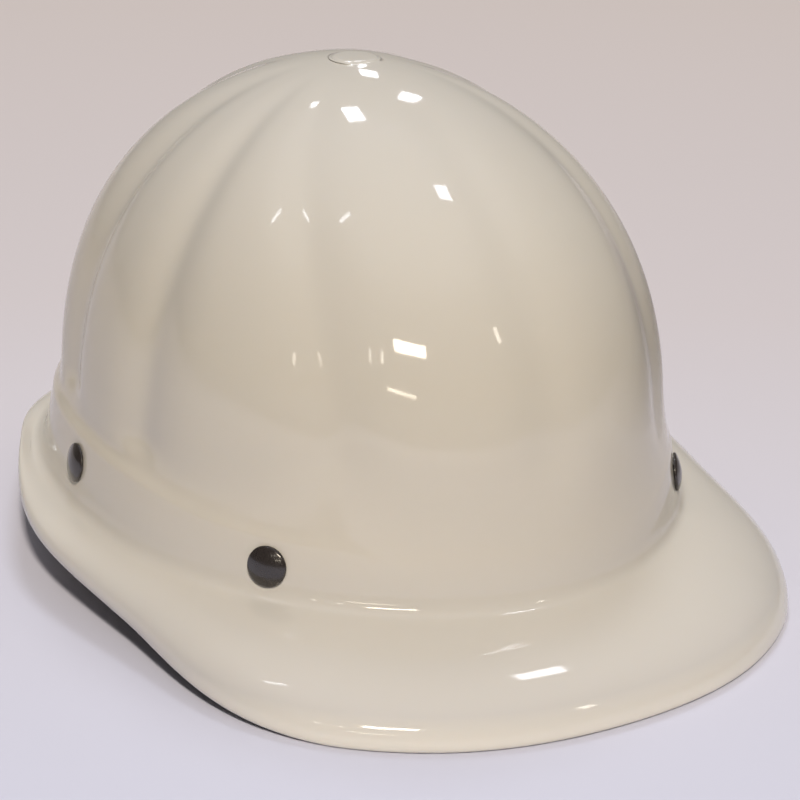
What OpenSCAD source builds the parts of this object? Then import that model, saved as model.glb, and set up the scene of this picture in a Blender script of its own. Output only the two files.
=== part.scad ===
// Cap-style safety helmet with a ribbed dome, a moulded brim and a riveted
// six-point webbing suspension. Millimetres, +Z up, the peak points to -Y.
// The origin lies on the table, under the middle of the overall box.

/* [Brim edge] */
// Reach of the brim edge from the crown axis, straight ahead
edge_front_r = 166.5; // [155:0.5:178]
// The same, 30 degrees round, at the peak's corner
edge_corner_r = 159.5; // [150:0.5:170]
// The same, 60 degrees round, where the peak has run out
edge_temple_r = 126; // [121:0.5:134]
// The same, at the side
edge_side_r = 115; // [110:0.5:122]
// The same, 120 degrees round
edge_quarter_r = 111; // [110:0.5:120]
// The same, 150 degrees round
edge_nape_r = 124; // [118:0.5:128]
// The same, straight behind
edge_back_r = 127.5; // [124:0.5:138]
// Azimuth of the peak's full corner
corner_a = 41.5; // [38:0.5:45]
// How far the edge bulges out at that corner
corner_bulge = 2.4; // [0:0.1:3]
// How much lower the lip stays at that corner
corner_low = 2.6; // [0:0.1:3]
// How far the lip arches off the table 60 degrees round
arch_temple = 14; // [9:0.5:15]
// How far the lip arches off the table at the side
arch_side = 17; // [11:0.5:18]
// How far the lip arches off the table 120 degrees round
arch_quarter = 16; // [11:0.5:17]
// How far the lip arches off the table 150 degrees round
arch_nape = 9.5; // [4:0.5:11]
// Depth of the turned-down lip
lip_drop = 7.2; // [6:0.1:9]
// Thickness of the lip
lip_t = 3.6; // [3.2:0.1:4.2]
// Depth of the flat that the lip rests on
land_cut = 0.5; // [0.3:0.1:0.7]

/* [Head band of the shell] */
// Radius of the foot of the shell's band, straight ahead
band_front_r = 127; // [125:0.5:132]
// The same, 30 degrees round
band_corner_r = 118.5; // [117:0.5:122]
// The same, 60 degrees round
band_temple_r = 106.5; // [104:0.5:110]
// The same, at the side
band_side_r = 98.5; // [97:0.5:102]
// The same, 120 degrees round
band_quarter_r = 102; // [99:0.5:104]
// The same, 150 degrees round
band_nape_r = 109; // [107:0.5:112]
// The same, straight behind
band_back_r = 112; // [110:0.5:116]
// Height of the brim's top where it meets the band
foot_z = 22; // [21:0.5:24]
// Height of the crease where the lobes begin
crease_z = 47; // [45:0.5:50]
// Inward lean of the band between its foot and the crease
band_lean = 2.8; // [2:0.1:3.2]
// Step by which the band stands proud of the lobes at the sides
band_step = 2.4; // [1.4:0.1:2.6]
// Azimuth at which that step has grown to its full depth
step_a = 50; // [30:5:60]

/* [Dome] */
// Height of the dome's top over the table
dome_h = 159.5; // [150:0.5:168]
// Depth of the dome's widest level under the crease
dome_low = 9; // [4:0.5:12]
// Fullness of the dome's sides, where 2 is an ellipse
dome_full = 2.55; // [2.2:0.05:2.8]
// Flatness of the dome's crown, where 2 is an ellipse
dome_flat = 1.85; // [1.7:0.05:2.1]
// Wall of the shell
wall = 2.7; // [2.4:0.1:3.2]
// Depth of the grooves between the lobes
groove_depth = 3.6; // [2:0.1:4.5]
// Height over which the grooves run out above the crease
groove_fade = 16; // [12:1:24]
// Azimuth of the first groove beside the front one, at the crease
groove_low_a = 30.5; // [28:0.5:36]
// How far that groove swings round towards the crown
groove_swing = 17; // [0:1:18]
// Diameter of the moulded disc on the crown
disc_d = 15; // [10:0.5:18]
// Height of that disc over the dome's top
disc_h = 0.5; // [0.3:0.1:1]

/* [Rivets] */
// Azimuth of the front rivets
rivet_front_a = 41.5; // [38:0.5:44]
// Azimuth of the side rivets
rivet_side_a = 93; // [89:0.5:95]
// Azimuth of the rear rivets
rivet_rear_a = 140; // [137:0.5:143]
// Height of the front rivets over the table
rivet_z = 32.5; // [32:0.5:34]
// How much higher the side and rear rivets sit
rivet_rise = 2.5; // [0:0.5:3]
// Diameter of a rivet's head
rivet_head_d = 12.7; // [11:0.1:14]
// Height of a rivet's head
rivet_head_h = 2.4; // [1.8:0.1:3]
// Diameter of a rivet's shank
rivet_d = 4.6; // [4:0.1:5]
// Clearance under a rivet's head
head_gap = 0.2; // [0.1:0.05:0.3]
// Clearance round the shank
rivet_clear = 0.2; // [0.1:0.05:0.3]
// Diameter of a washer under a rivet's tail
washer_d = 11; // [10:0.5:12]
// Thickness of a washer
washer_t = 1; // [0.8:0.1:1.2]
// Diameter of a rivet's tail
tail_d = 7.2; // [6.5:0.1:8]
// Thickness of a rivet's tail
tail_t = 1.4; // [1:0.1:1.6]

/* [Webbing] */
// Width of the crown straps
strap_w = 20; // [16:1:22]
// Thickness of the crown straps
strap_t = 1.5; // [1.2:0.1:1.8]
// Height of the lowest strap's middle at the crown
strap_top_z = 120; // [112:1:124]
// Length of strap below the rivet
strap_tail = 9; // [7:0.5:9]
// Lean of a strap's foot towards the crown
strap_lean = 17; // [14:1:20]
// Clearance between pieces that lie on each other
gap = 0.3; // [0.2:0.05:0.4]
// Diameter of the crown pad
pad_d = 76; // [60:1:84]
// Thickness of the crown pad
pad_t = 5; // [3:0.5:7]
// Radius of the crown pad's upper face
pad_round_r = 68; // [62:1:72]

/* [Hangers] */
// Width of a hanger
hanger_w = 18; // [16:0.5:20]
// Plate thickness of a hanger
hanger_t = 1.8; // [1.5:0.1:2.2]
// Height of a hanger's wall plate
hanger_h = 17; // [14:0.5:18]
// Height of that plate above its rivet
hanger_up = 6.5; // [6:0.5:7.5]
// Width of the slot in a hanger
slot_w = 5.4; // [5:0.1:6]
// Clearance of a key in its slot
key_clear = 0.25; // [0.2:0.05:0.35]
// Height of a key's neck
key_h = 5; // [4:0.5:6]
// Height of the keys over the table at the lowest setting
key_z = 30; // [29.5:0.5:31]
// Width of a key's cap
key_cap_w = 9; // [8:0.5:10]
// Thickness of a key's cap
key_cap_t = 1.6; // [1.2:0.1:2]
// Height adjustment of the headband
height_travel = 9; // [6:1:9]
// Gap between the headband and the face of a hanger
hanger_gap = 3.4; // [3.2:0.1:4]

/* [Headband] */
// Half width of the headband's outside
headband_half_w = 77; // [73:0.5:79]
// Half length of the headband's outside
headband_half_l = 98; // [94:0.5:100]
// Distance of the headband's middle ahead of the crown axis
headband_fwd = 7.5; // [5:0.5:9]
// Thickness of the headband
headband_t = 1.6; // [1.4:0.1:2]
// Height of the headband
headband_h = 28; // [24:1:30]
// Height of the headband's lower edge over the table
headband_z = 18; // [17.5:0.5:20]
// Thickness of the sweatband
sweat_t = 2.4; // [2:0.1:3]
// Height of the sweatband
sweat_h = 34; // [30:1:36]
// How far round each way the sweatband goes
sweat_a = 78; // [60:1:84]

/* [Nape strap] */
// Height of the nape strap
nape_h = 10; // [8:0.5:10]
// Thickness of the nape strap
nape_t = 1.5; // [1.3:0.1:1.8]
// Height of the nape strap's lower edge over the table
nape_z = 3.5; // [3:0.5:4]
// Reach of the nape strap behind the headband's middle
nape_reach = 99; // [96:0.5:101]
// Straight length that an arm keeps behind its guide at the forward limit
nape_straight = 1; // [0.5:0.5:4]
// Length of a nape strap's arm ahead of its stud
nape_arm = 24; // [22:1:26]
// Travel of the nape strap each way
nape_travel = 10; // [6:0.5:10]
// Height of the slot in an arm
nape_slot_h = 4; // [3.8:0.1:4.4]
// Diameter of the stud in that slot
stud_d = 3.4; // [3:0.1:3.6]
// Length of a guide
guide_l = 46; // [40:1:50]
// Thickness of a guide's plate
guide_t = 1.6; // [1.4:0.1:2]
// Height of a guide
guide_h = 24; // [22:0.5:24.5]
// Length of a guide's keeper loops
keeper_l = 6; // [5:0.5:8]
// Diameter of the small rivets that hold a guide
tack_d = 3; // [2.5:0.1:3.5]
// Distance of the small rivets from a guide's middle
tack_y = 14; // [13:0.5:15]
// Height of the small rivets over the headband's lower edge
tack_up = 4; // [3.5:0.1:4.5]

/* [Hidden] */

ivory = [0.90, 0.87, 0.80];
crown_y = (edge_front_r - edge_back_r) / 2;
band_y = crown_y - headband_fwd;
tack_z = headband_z + tack_up;
edge_r = [edge_front_r, edge_corner_r, edge_temple_r, edge_side_r,
  edge_quarter_r, edge_nape_r, edge_back_r];
arch_z = [0, 0, arch_temple, arch_side, arch_quarter, arch_nape, 0];
band_r = [band_front_r, band_corner_r, band_temple_r, band_side_r,
  band_quarter_r, band_nape_r, band_back_r];
groove_pitch = 36;
turns = 80;
low_z = foot_z + 6;
top_z = crease_z - 3;
lean_a = atan(band_lean / (top_z - low_z));
guide_y = seat(rivet_side_a)[1];

// A smooth closed line through seven stations, the same on both sides
function fold(a) = let (b = a - 360 * floor(a / 360)) b > 180 ? 360 - b : b;
function station(v, i) = i < 0 ? v[-i] : i > 6 ? v[12 - i] : v[i];
function through(v, a) = let (
    b = fold(a),
    k = min(floor(b / 30), 5),
    u = b / 30 - k,
    p = station(v, k),
    q = station(v, k + 1),
    m = (q - station(v, k - 1)) / 2,
    n = (station(v, k + 2) - p) / 2)
  (2 * u ^ 3 - 3 * u ^ 2 + 1) * p + (u ^ 3 - 2 * u ^ 2 + u) * m
  + (3 * u ^ 2 - 2 * u ^ 3) * q + (u ^ 3 - u ^ 2) * n;

// A point at azimuth a from the front, radius r from the crown axis, height z
function at(a, r, z) = [r * sin(a), crown_y - r * cos(a), z];
// Inward set of the band at height z
function set_in(z) = band_lean * max(z - low_z, 0) / (top_z - low_z);
function step_at(a) = band_step * ease(fold(a) / step_a);
function ease(u) = let (v = min(max(u, 0), 1)) v * v * (3 - 2 * v);
function curve(p, u) = (1 - u) ^ 3 * p[0] + 3 * (1 - u) ^ 2 * u * p[1]
  + 3 * (1 - u) * u ^ 2 * p[2] + u ^ 3 * p[3];

// Place across a lobe, 0 and 1 on its grooves
function lobe(a, t) = let (
    b = fold(a),
    g = groove_low_a + groove_swing * t * t)
  b < g ? b / g
  : b < 2 * groove_pitch ? (b - g) / (2 * groove_pitch - g)
  : b / groove_pitch - floor(b / groove_pitch);

// Radius and height of the dome at azimuth a, for u from 0 at the crease to
// 1 at the crown, with the wall taken off by inset
function dome_at(a, u, inset) = let (
    low = crease_z - dome_low,
    h = dome_h - inset - low,
    e0 = asin((dome_low / h) ^ (dome_full / 2)),
    e = e0 + (90 - e0) * u ^ 1.5,
    r = (through(band_r, a) - band_lean - step_at(a) - inset)
      * (cos(e) / cos(e0)) ^ (2 / dome_flat),
    z = low + h * sin(e) ^ (2 / dome_full),
    t = max(z - crease_z, 0) / (h - dome_low),
    dip = groove_depth * ease((z - crease_z) / groove_fade) * cos(e) ^ 0.6
      * (2 * lobe(a, t) - 1) ^ 2)
  [r - dip, z];

// The brim's edge, fuller at the peak's corners, and the underside of its lip
function corner(a) = ease(1 - abs(fold(a) - corner_a) / 20);
function edge_at(a) = through(edge_r, a) + corner_bulge * corner(a);
function lip_at(a) = let (z = through(arch_z, a) - corner_low * corner(a))
  max(z, 0) - land_cut * ease((5 - z) / 5);

// The outer and the inner outline of the shell at one azimuth
function outer_side(a) = let (
    b = through(band_r, a),
    e = edge_at(a),
    z = lip_at(a),
    reach = e - b - 4.5)
  concat(
    [for (i = [13:-1:0]) dome_at(a, i / 14, 0)],
    [[b - band_lean - step_at(a) * 0.85, crease_z - 0.8],
     [b - band_lean - step_at(a) * 0.3, crease_z - 1.8],
     [b - band_lean, top_z]],
    [for (i = [1:4]) let (z = top_z - (top_z - low_z) * i / 4) [b - set_in(z), z]],
    [[b + 0.75, foot_z + 3.6],
     [b + 1.7, foot_z + 2],
     [b + 3, foot_z + 1]],
    [for (i = [0:8]) curve([
      [b + 4.5, foot_z + 0.6],
      [b + 4.5 + reach * 0.42, foot_z + 0.6 - 2.6 * ease((reach - 12) / 20)],
      [e + 0.2, z + lip_drop + 0.5 + 3 * ease((reach - 12) / 20)],
      [e, z + 1.8]], i / 8)],
    [[e - 0.5, z + 0.6], [e - 1.7, z]]);
function inner_side(a) = let (
    b = through(band_r, a),
    e = edge_at(a),
    z = lip_at(a),
    reach = e - b - 4.5)
  concat(
    [[e - lip_t + 1.3, z], [e - lip_t + 0.2, z + 0.7]],
    [for (i = [0:5]) curve([
      [e - lip_t, z + 1.9],
      [e - lip_t + 0.2, z + lip_drop - 2.2 + 3 * ease((reach - 12) / 20)],
      [b + 3.2 + reach * 0.42, foot_z - wall + 0.6 - 2.6 * ease((reach - 12) / 20)],
      [b + 3.2, foot_z - wall + 0.4]], i / 5)],
    [[b + 0.9, foot_z - wall + 1.5],
     [b - wall + 1.1, foot_z + 1.6],
     [b - wall + 0.2, foot_z + 4],
     [b - wall, low_z],
     [b - wall - band_lean / 2, (low_z + top_z) / 2],
     [b - wall - band_lean, top_z]],
    [for (i = [0:11]) dome_at(a, i / 12, wall)]);

module shell_skin() {
  sides = [for (k = [0:turns - 1]) let (a = k * 360 / turns)
    [for (p = concat(outer_side(a), inner_side(a))) at(a, p[0], p[1])]];
  rows = len(sides[0]);
  top = turns * rows;
  points = concat([for (s = sides) each s],
    [[0, crown_y, dome_h], [0, crown_y, dome_h - wall]]);
  faces = concat(
    [for (k = [0:turns - 1], j = [0:rows - 2]) let (
      p = k * rows + j,
      q = ((k + 1) % turns) * rows + j)
      each [[p, q, p + 1], [q, q + 1, p + 1]]],
    [for (k = [0:turns - 1]) let (
      p = k * rows,
      q = ((k + 1) % turns) * rows)
      each [[top, q, p], [top + 1, p + rows - 1, q + rows - 1]]]);
  polyhedron(points = points, faces = faces, convexity = 6);
}

// The band's surface at a rivet, and the way that it faces
function seat_z(a) = rivet_z
  + rivet_rise * ease((fold(a) - rivet_front_a) / (rivet_side_a - rivet_front_a));
function seat_r(a) = through(band_r, a) - set_in(seat_z(a));
function seat(a) = at(a, seat_r(a), seat_z(a));
function facing(a) = let (d = at(a + 1, through(band_r, a + 1), 0)
    - at(a - 1, through(band_r, a - 1), 0))
  atan2(-d[0], d[1]);

// Puts its children at a rivet's seat, with +Z straight out of the wall
module on_seat(a) {
  translate(seat(a))
    rotate([0, 0, facing(a)])
      rotate([0, 90 - lean_a, 0])
        children();
}

strap_bow = strap_w ^ 2 / (6 * band_side_r);
strap_in = wall + gap + strap_bow;
hanger_in = strap_in + strap_t + gap;
washer_in = hanger_in + hanger_t + 0.1;
tail_in = washer_in + washer_t + 0.1;

module shell() {
  color(ivory)
    difference() {
      union() {
        shell_skin();
        translate([0, crown_y, dome_h - wall * 0.6])
          cylinder(d = disc_d, h = wall * 0.6 + disc_h, $fn = 64);
      }
      translate([-200, -200, -10])
        cube([400, 400, 10]);
      for (a = [rivet_front_a, rivet_side_a, rivet_rear_a], s = [-1, 1])
        on_seat(s * a)
          translate([0, 0, -wall - 4])
            cylinder(d = rivet_d + 2 * rivet_clear, h = wall + 8, $fn = 48);
    }
}

module rivet(a) {
  r = rivet_head_d / 2;
  ball = (r * r + rivet_head_h ^ 2) / (2 * rivet_head_h);
  color([0.24, 0.23, 0.22])
    on_seat(a)
      rotate_extrude($fn = 64)
        difference() {
          union() {
            translate([0, -tail_in - tail_t])
              square([rivet_d / 2, tail_in + tail_t + head_gap + 0.2]);
            translate([0, -tail_in - tail_t])
              square([tail_d / 2, tail_t]);
            intersection() {
              translate([0, head_gap + rivet_head_h - ball])
                circle(r = ball, $fn = 128);
              translate([0, head_gap])
                square([r, rivet_head_h + 1]);
            }
          }
          translate([-20, -20])
            square([20, 40]);
        }
}

module washer(a) {
  color([0.62, 0.63, 0.64])
    on_seat(a)
      translate([0, 0, -washer_in - washer_t])
        difference() {
          cylinder(d = washer_d, h = washer_t, $fn = 64);
          translate([0, 0, -1])
            cylinder(d = rivet_d + 2 * rivet_clear, h = washer_t + 2, $fn = 48);
        }
}

// Distance from a rivet's seat, straight in, to the outside of the headband
function to_headband(a) = let (
    s = seat(a),
    f = facing(a),
    d = [-cos(f), -sin(f)],
    w = headband_half_w,
    l = headband_half_l,
    y = s[1] - band_y,
    qa = (d[0] / w) ^ 2 + (d[1] / l) ^ 2,
    qb = 2 * (s[0] * d[0] / w ^ 2 + y * d[1] / l ^ 2),
    qc = (s[0] / w) ^ 2 + (y / l) ^ 2 - 1)
  (-qb - sqrt(qb ^ 2 - 4 * qa * qc)) / (2 * qa);

// Puts its children at a rivet's seat on the table, with +X straight in
module inward(a) {
  translate([seat(a)[0], seat(a)[1], 0])
    rotate([0, 0, facing(a) + 180])
      children();
}

slot_z = key_z - key_h / 2 - key_clear;
slot_h = key_h + height_travel + 2 * key_clear;

module hanger(a) {
  far = to_headband(a) - hanger_gap - hanger_t;
  color([0.82, 0.81, 0.77])
    difference() {
      union() {
        on_seat(a)
          translate([-hanger_up, -hanger_w / 2, -hanger_in - hanger_t])
            cube([hanger_h, hanger_w, hanger_t]);
        inward(a) {
          for (s = [-1, 1])
            translate([hanger_in + 1, s * (hanger_w - 2) / 2 - 1, slot_z + 1])
              cube([far - hanger_in, 2, slot_h - 4]);
          translate([far, -hanger_w / 2, slot_z - 4])
            cube([hanger_t, hanger_w, slot_h + 8]);
        }
      }
      inward(a)
        translate([far - 1, -slot_w / 2, slot_z])
          cube([hanger_t + 2, slot_w, slot_h]);
      on_seat(a)
        translate([0, 0, -hanger_in - hanger_t - 1])
          cylinder(d = rivet_d + 2 * rivet_clear, h = hanger_t + 2, $fn = 48);
      on_seat(a)
        translate([0, 0, -hanger_in])
          translate([-30, -30, 0])
            cube([60, 60, 20]);
    }
}

// A strap between two rivets, as stations of [point, way across, way out]
function strap_line(a, k) = let (
    top = strap_top_z + k * (strap_t + gap),
    r = seat_r(a) - (strap_in + strap_t / 2) * cos(lean_a),
    d = tan(lean_a),
    low = seat_z(a),
    knee = low + hanger_up + gap)
  concat(
    [for (z = [low - strap_tail, low, knee])
      [r - d * (z - low), z]],
    [for (i = [1:13]) curve([
      [r - d * (knee - low), knee],
      [r - d * (knee - low) - strap_lean, knee + 32],
      [r * 0.6, top],
      [strap_w * 1.15, top]], i / 13)],
    [[0, top]]);
function strap_frames(a, k) = let (
    half = strap_line(a, k),
    n = len(half),
    twist = fold_way(facing(a) - (a - 90)))
  concat(
    [for (i = [0:n - 1]) let (
      p = half[i],
      q = half[min(i + 1, n - 1)],
      o = half[max(i - 1, 0)],
      d = q - o,
      l = norm(d),
      w = a - 90 + twist * (1 - ease((p[1] - seat_z(a)) / 50)))
      [at(a, p[0], p[1]), [-sin(w), cos(w), 0],
       [cos(w) * d[1] / l, sin(w) * d[1] / l, -d[0] / l]]]);
function fold_way(a) = a - 360 * round(a / 360);

// A strap from the rivet at azimuth a over the crown to the one at b
module strap(a, b, k) {
  one = strap_frames(a, k);
  two = strap_frames(b, k);
  f = concat(one, [for (i = [len(two) - 2:-1:0]) [two[i][0], -two[i][1], two[i][2]]]);
  n = len(f);
  points = [for (g = f, c = [[-1, -1], [1, -1], [1, 1], [-1, 1]])
    g[0] + g[1] * c[0] * strap_w / 2 + g[2] * c[1] * strap_t / 2];
  faces = concat(
    [[0, 2, 1], [0, 3, 2]],
    [for (i = [0:n - 2], c = [0:3]) let (
      p = 4 * i + c,
      q = 4 * i + (c + 1) % 4)
      each [[p, q, p + 4], [q, q + 4, p + 4]]],
    [[4 * n - 4, 4 * n - 3, 4 * n - 2], [4 * n - 4, 4 * n - 2, 4 * n - 1]]);
  color([0.86, 0.84, 0.78])
    difference() {
      polyhedron(points = points, faces = faces, convexity = 4);
      for (c = [a, b])
        on_seat(c)
          translate([0, 0, -strap_in - strap_t - 2])
            cylinder(d = rivet_d + 2 * rivet_clear, h = strap_t + 4, $fn = 48);
    }
}

function pad_drop(x) = pad_round_r - sqrt(pad_round_r ^ 2 - x ^ 2);

module crown_pad() {
  top = strap_top_z - strap_t / 2 - gap;
  color([0.30, 0.30, 0.32])
    translate([0, crown_y, top])
      rotate_extrude($fn = 72)
        polygon(concat(
          [[0, 0]],
          [for (i = [1:8]) let (x = i * pad_d / 16 * 0.97) [x, -pad_drop(x)]],
          [[pad_d / 2, -pad_drop(pad_d / 2) - pad_t / 2]],
          [for (i = [8:-1:1]) let (x = i * pad_d / 16 * 0.97)
            [x, -pad_drop(x) - pad_t]],
          [[0, -pad_t]]));
}

function oval(w, l, a) = [w * sin(a), band_y - l * cos(a)];

module oval_ring(w, l, t) {
  difference() {
    polygon([for (a = [0:4:356]) oval(w, l, a)]);
    polygon([for (a = [0:4:356]) oval(w - t, l - t, a)]);
  }
}

module headband() {
  color([0.80, 0.79, 0.74])
    difference() {
      union() {
        translate([0, 0, headband_z])
          linear_extrude(headband_h)
            oval_ring(headband_half_w, headband_half_l, headband_t);
        for (a = [rivet_front_a, rivet_side_a, rivet_rear_a], s = [-1, 1]) {
          far = to_headband(s * a) - hanger_gap - hanger_t;
          inward(s * a) {
            translate([far - 0.4 - key_cap_t, -key_cap_w / 2, key_z - key_h / 2])
              cube([key_cap_t, key_cap_w, key_h]);
            translate([far - 0.5, -slot_w / 2 + key_clear, key_z - key_h / 2])
              cube([hanger_gap + hanger_t + 1.3, slot_w - 2 * key_clear, key_h]);
          }
        }
      }
      for (y = [-tack_y, tack_y])
        translate([-100, guide_y + y, tack_z])
          rotate([0, 90, 0])
            cylinder(d = tack_d + 0.2, h = 200, $fn = 32);
    }
}

module sweatband() {
  w = headband_half_w - headband_t - gap;
  l = headband_half_l - headband_t - gap;
  n = 36;
  color([0.36, 0.26, 0.18])
    translate([0, 0, headband_z - (sweat_h - headband_h) / 2])
      linear_extrude(sweat_h)
        polygon(concat(
          [for (i = [0:n]) oval(w, l, -sweat_a + 2 * sweat_a * i / n)],
          [for (i = [n:-1:0]) oval(w - sweat_t, l - sweat_t,
            -sweat_a + 2 * sweat_a * i / n)]));
}

guide_x = headband_half_w + 0.1;
arm_x = guide_x + guide_t + gap;

module nape_strap() {
  w = arm_x + nape_t;
  straight_y = guide_y + guide_l / 2 + nape_travel + nape_straight;
  back = nape_reach - straight_y + band_y;
  color([0.80, 0.79, 0.74])
    difference() {
      translate([0, 0, nape_z])
        linear_extrude(nape_h)
          difference() {
            union() {
              polygon([for (a = [90:4:270])
                [w * sin(a), straight_y - back * cos(a)]]);
              translate([-w, guide_y - nape_arm])
                square([2 * w, nape_arm + straight_y - guide_y + 0.01]);
            }
            polygon([for (a = [90:4:270])
              [(w - nape_t) * sin(a), straight_y - (back - nape_t) * cos(a)]]);
            translate([-w + nape_t, guide_y - nape_arm - 1])
              square([2 * (w - nape_t), nape_arm + straight_y - guide_y + 1.02]);
          }
      translate([-100, guide_y - nape_travel - stud_d / 2 - 0.2,
        nape_z + (nape_h - nape_slot_h) / 2])
        cube([200, 2 * nape_travel + stud_d + 0.4, nape_slot_h]);
    }
}

// Half width of the headband's outside, set in by s, at a distance y behind
// its middle
function oval_x(s, y) = (headband_half_w - s)
  * sqrt(1 - (y / (headband_half_l - s)) ^ 2);

module nape_guide() {
  keeper_x = arm_x + nape_t + gap;
  low = nape_z - gap;
  high = nape_z + nape_h + gap;
  ahead = guide_y - band_y - guide_l / 2;
  color([0.82, 0.81, 0.77])
    difference() {
      union() {
        translate([0, 0, low - 1.2])
          linear_extrude(guide_h)
            polygon(concat(
              [[guide_x + guide_t, guide_y + guide_l / 2],
               [guide_x + guide_t, guide_y - guide_l / 2]],
              [for (i = [0:10]) let (y = ahead + guide_l * i / 10)
                [oval_x(-0.1, y), band_y + y]]));
        for (y = [-guide_l / 2, guide_l / 2 - keeper_l])
          difference() {
            translate([guide_x, guide_y + y, low - 1.2])
              cube([keeper_x + 1.2 - guide_x, keeper_l, high - low + 2.4]);
            translate([guide_x + guide_t, guide_y + y - 1, low])
              cube([keeper_x - guide_x - guide_t, keeper_l + 2, high - low]);
          }
        translate([guide_x + guide_t / 2, guide_y, nape_z + nape_h / 2])
          rotate([0, 90, 0])
            cylinder(d = stud_d, h = guide_t / 2 + gap + nape_t + 1, $fn = 48);
        translate([arm_x + nape_t + 0.3, guide_y, nape_z + nape_h / 2])
          rotate([0, 90, 0])
            cylinder(d = nape_slot_h + 2.4, h = 1.2, $fn = 48);
      }
      for (y = [-tack_y, tack_y])
        translate([guide_x - 10, guide_y + y, tack_z])
          rotate([0, 90, 0])
            cylinder(d = tack_d + 0.2, h = guide_t + 12, $fn = 32);
    }
}

// Two small rivets hold each guide to the headband
module guide_tacks() {
  color([0.62, 0.63, 0.64])
    for (y = [-tack_y, tack_y]) {
      inside = oval_x(headband_t, abs(guide_y - band_y + y) + tack_d / 2 + 1.2);
      translate([0, guide_y + y, tack_z])
        rotate([0, 90, 0]) {
          translate([0, 0, inside - 0.9])
            cylinder(d = tack_d, h = guide_x + guide_t - inside + 1.4, $fn = 32);
          translate([0, 0, inside - 0.9])
            cylinder(d = tack_d + 2.4, h = 0.8, $fn = 32);
          translate([0, 0, guide_x + guide_t + 0.1])
            cylinder(d = tack_d + 2.4, h = 0.9, $fn = 32);
        }
    }
}

shell();
rivet(-rivet_front_a);  // rivet_front_right
rivet(rivet_front_a);  // rivet_front_left
rivet(-rivet_side_a);  // rivet_side_right
rivet(rivet_side_a);  // rivet_side_left
rivet(-rivet_rear_a);  // rivet_rear_right
rivet(rivet_rear_a);  // rivet_rear_left
washer(-rivet_front_a);  // washer_front_right
washer(rivet_front_a);  // washer_front_left
washer(-rivet_side_a);  // washer_side_right
washer(rivet_side_a);  // washer_side_left
washer(-rivet_rear_a);  // washer_rear_right
washer(rivet_rear_a);  // washer_rear_left
hanger(-rivet_front_a);  // hanger_front_right
hanger(rivet_front_a);  // hanger_front_left
hanger(-rivet_side_a);  // hanger_side_right
hanger(rivet_side_a);  // hanger_side_left
hanger(-rivet_rear_a);  // hanger_rear_right
hanger(rivet_rear_a);  // hanger_rear_left
strap(rivet_side_a, -rivet_side_a, 0);  // strap_side
strap(-rivet_front_a, rivet_rear_a, 1);  // strap_right_front
strap(rivet_front_a, -rivet_rear_a, 2);  // strap_left_front
crown_pad();
headband();
sweatband();
nape_strap();
mirror([1, 0, 0]) nape_guide();  // nape_guide_right
nape_guide();  // nape_guide_left
mirror([1, 0, 0]) guide_tacks();  // guide_tacks_right
guide_tacks();  // guide_tacks_left
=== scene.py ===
# A cap-style safety helmet: lobed moulded shell, brim with a peak, and a riveted
# webbing cradle with an adjustable headband. Blender works in metres here; the
# dictionaries are in millimetres and degrees. +Z is up and the peak points to -Y.
import bpy
import math
import numpy as np
from mathutils import Matrix, Vector


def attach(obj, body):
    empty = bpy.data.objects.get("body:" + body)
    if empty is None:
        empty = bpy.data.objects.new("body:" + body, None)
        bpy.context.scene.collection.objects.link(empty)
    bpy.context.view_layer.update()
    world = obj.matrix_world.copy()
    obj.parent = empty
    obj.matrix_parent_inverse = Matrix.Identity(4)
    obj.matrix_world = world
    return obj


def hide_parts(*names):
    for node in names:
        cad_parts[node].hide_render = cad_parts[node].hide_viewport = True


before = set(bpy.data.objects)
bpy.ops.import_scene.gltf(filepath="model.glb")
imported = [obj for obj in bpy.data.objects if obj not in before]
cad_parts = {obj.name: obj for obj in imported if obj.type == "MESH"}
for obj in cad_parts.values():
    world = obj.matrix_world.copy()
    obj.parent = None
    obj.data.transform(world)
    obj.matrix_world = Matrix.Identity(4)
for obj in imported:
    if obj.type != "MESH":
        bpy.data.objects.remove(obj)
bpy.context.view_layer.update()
mm = 0.001
print("frame loaded:", len(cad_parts), "nodes")


def linear(hexColour):
    channels = [int(hexColour[i:i + 2], 16) / 255 for i in (1, 3, 5)]
    return [c / 12.92 if c <= 0.04045 else ((c + 0.055) / 1.055) ** 2.4 for c in channels] + [1.0]


def addNode(tree, kind, settings={}, links={}, into=None):
    # into is the socket that the node's first output feeds
    node = tree.nodes.new(kind)
    for key, value in settings.items():
        if key == "stops":                  # a colour ramp's places and colours
            points = node.color_ramp.elements
            while len(points) < len(value):
                points.new(0.5)
            for point, (place, hexColour) in zip(points, value):
                point.position, point.color = place, linear(hexColour)
        elif isinstance(key, str) and hasattr(node, key):
            setattr(node, key, value)
        else:
            node.inputs[key].default_value = value
    for key, source in links.items():
        tree.links.new(source, node.inputs[key])
    if into:
        tree.links.new(node.outputs[0], into)
    return node


def newMaterial(name, settings):
    material = bpy.data.materials.new(name)
    material.use_nodes = True
    tree = material.node_tree
    shader = tree.nodes["Principled BSDF"]
    for key, value in settings.items():
        shader.inputs[key].default_value = value
    return material, tree, shader


# Injection-moulded ABS off a polished mould: an ivory with a wet gloss, with painted light in its
# colour by height, and a very faint ripple where the wall cooled
shellPlastic = {
    # colour by height over the table, partly painted light: the palest lip is a painted highlight, the
    # cooler band a painted reflection of the pale table, and the cooler top a painted sheen
    "colours": [(0, "#F1ECDD"), (5, "#E0DCD1"), (10, "#CDCAC4"), (24, "#D0CCC3"), (40, "#D2CCBE"),
                (90, "#CCC6B7"), (150, "#CBC8C0")],
    "cloudSize": 60, "cloudDark": 0.985, "cloudLight": 1.012,
    "glossFinest": 0.045, "glossDustiest": 0.085, "dustSize": 2.8,
    "rippleSize": 26, "rippleDepth": 0.020,
}


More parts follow.
